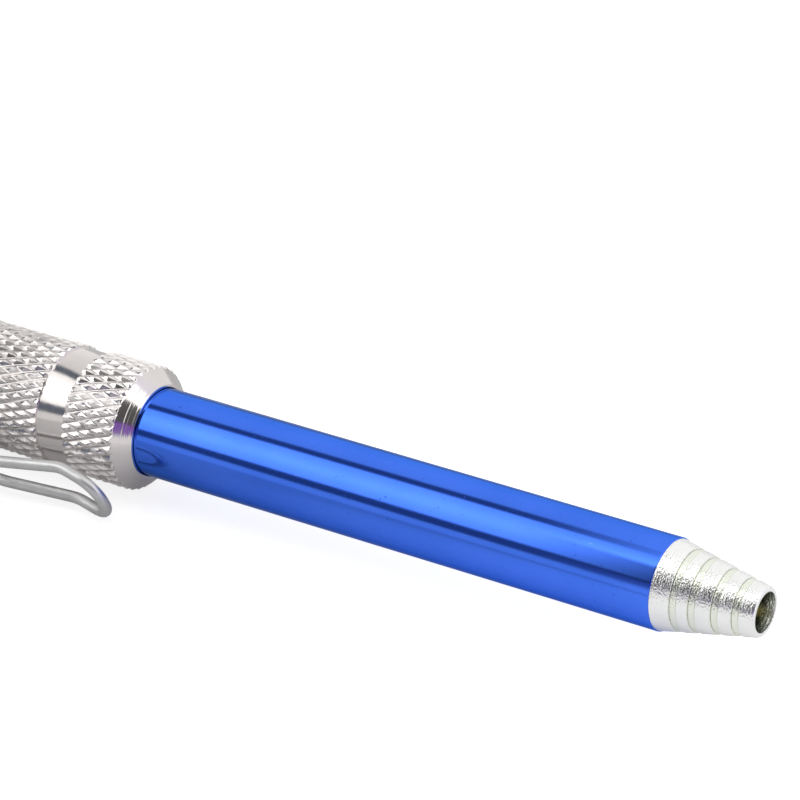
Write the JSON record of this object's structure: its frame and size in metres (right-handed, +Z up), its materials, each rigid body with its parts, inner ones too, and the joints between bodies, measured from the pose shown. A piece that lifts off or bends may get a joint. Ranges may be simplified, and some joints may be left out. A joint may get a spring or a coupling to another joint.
{
  "type": "3-D pen",
  "caption": "Slim metal 3-D pen: knurled barrel with a wire pocket clip, a sprung blue tube with a stepped open nose, feed keys and tail sockets.",
  "frame": {"origin": "centre of the nose's mouth, on the pen's axis", "axes": "+X out of the nose along the pen, +Z up away from the floor that the pen lies on, with the keys on top and the pocket clip low on the -Y side"},
  "size_m": [0.1691, 0.0186, 0.0153],
  "materials": {
    "nose_metal": "fine turned satin",
    "blue_anodised": "bright anodised",
    "barrel_metal": "bright knurled and turned",
    "clip_steel": "satin wire",
    "spring_steel": "drawn wire",
    "stainless": "drawn tube",
    "brass": "turned",
    "ceramic": "unglazed",
    "ptfe": "waxy",
    "amber_film": "wrapped film",
    "bead_glass": "glass bead",
    "lead_insulation": "soft",
    "chassis_plastic": "moulded",
    "board_green": "solder mask",
    "chip_black": "moulded",
    "switch_metal": "stamped",
    "led_clear": "clear moulded",
    "bezel_black": "moulded",
    "button_grey": "moulded",
    "tail_black": "moulded",
    "jack_black": "moulded",
    "screw_steel": "plated",
    "hardened_steel": "ground",
    "motor_steel": "drawn can"
  },
  "bodies": {
    "body": {"sleeve_spring": "spring_steel", "barrel": "barrel_metal", "front_bulkhead": "nose_metal", "tail_plug": "tail_black", "tail_ring": "barrel_metal", "clip_band": "barrel_metal", "nozzle": "brass", "heat_break": "stainless", "ceramic_heater": "ceramic", "heater_sleeve": "amber_film", "thermistor": "bead_glass", "carrier_tube": "stainless", "guide_ring": "ptfe", "ptfe_liner": "ptfe", "heater_leads": "lead_insulation", "chassis_lower": "chassis_plastic", "chassis_upper": "chassis_plastic", "chassis_screws": "screw_steel", "circuit_board": "board_green", "controller_chip": "chip_black", "feed_switch": "switch_metal", "reverse_switch": "switch_metal", "status_led": "led_clear", "button_bezel": "bezel_black", "shaft_bush_front": "brass", "shaft_bush_rear": "brass", "idler_axle": "hardened_steel", "gearbox": "motor_steel", "motor": "motor_steel", "rear_guide_tube": "ptfe", "motor_leads": "lead_insulation", "power_leads": "lead_insulation", "power_jack": "jack_black", "inlet_bush": "brass"},
    "sleeve": {"nose_cone": "nose_metal", "outer_tube": "blue_anodised", "stop_ring": "brass"},
    "clip": {"pocket_clip": "clip_steel"},
    "feed_key": {"feed_button": "button_grey"},
    "reverse_key": {"reverse_button": "button_grey"},
    "feeder": {"feed_screw": "hardened_steel", "drive_shaft": "hardened_steel"},
    "idler": {"idler_wheel": "hardened_steel"}
  },
  "joints": [
    {"name": "sleeve_slide", "type": "slide", "parent": "body", "child": "sleeve", "axis": [-1, 0, 0], "range_m": [0, 0.005], "stiffness_N_per_m": 470, "springref_m": -0.004, "deforming": ["sleeve_spring"]},
    {"name": "clip_hinge", "type": "hinge", "parent": "body", "child": "clip", "pos_m": [-0.1283, -0.00886, -0.00369], "axis": [0, 0.3843, -0.9232], "range_deg": [0, 6], "stiffness_Nm_per_rad": 1.2},
    {"name": "feed_key_press", "type": "slide", "parent": "body", "child": "feed_key", "axis": [0, 0, -1], "range_m": [0, 0.0003], "stiffness_N_per_m": 1500},
    {"name": "reverse_key_press", "type": "slide", "parent": "body", "child": "reverse_key", "axis": [0, 0, -1], "range_m": [0, 0.0003], "stiffness_N_per_m": 1500},
    {"name": "feed_screw_spin", "type": "hinge", "parent": "body", "child": "feeder", "pos_m": [-0.1268, 0, 0.00217], "axis": [1, 0, 0], "continuous": true},
    {"name": "idler_spin", "type": "hinge", "parent": "body", "child": "idler", "pos_m": [-0.1268, 0, -0.00436], "axis": [0, 1, 0], "continuous": true}
  ],
  "couplings": [
    {"joint": "idler_spin", "follows": "feed_screw_spin", "ratio": -0.12243}
  ]
}
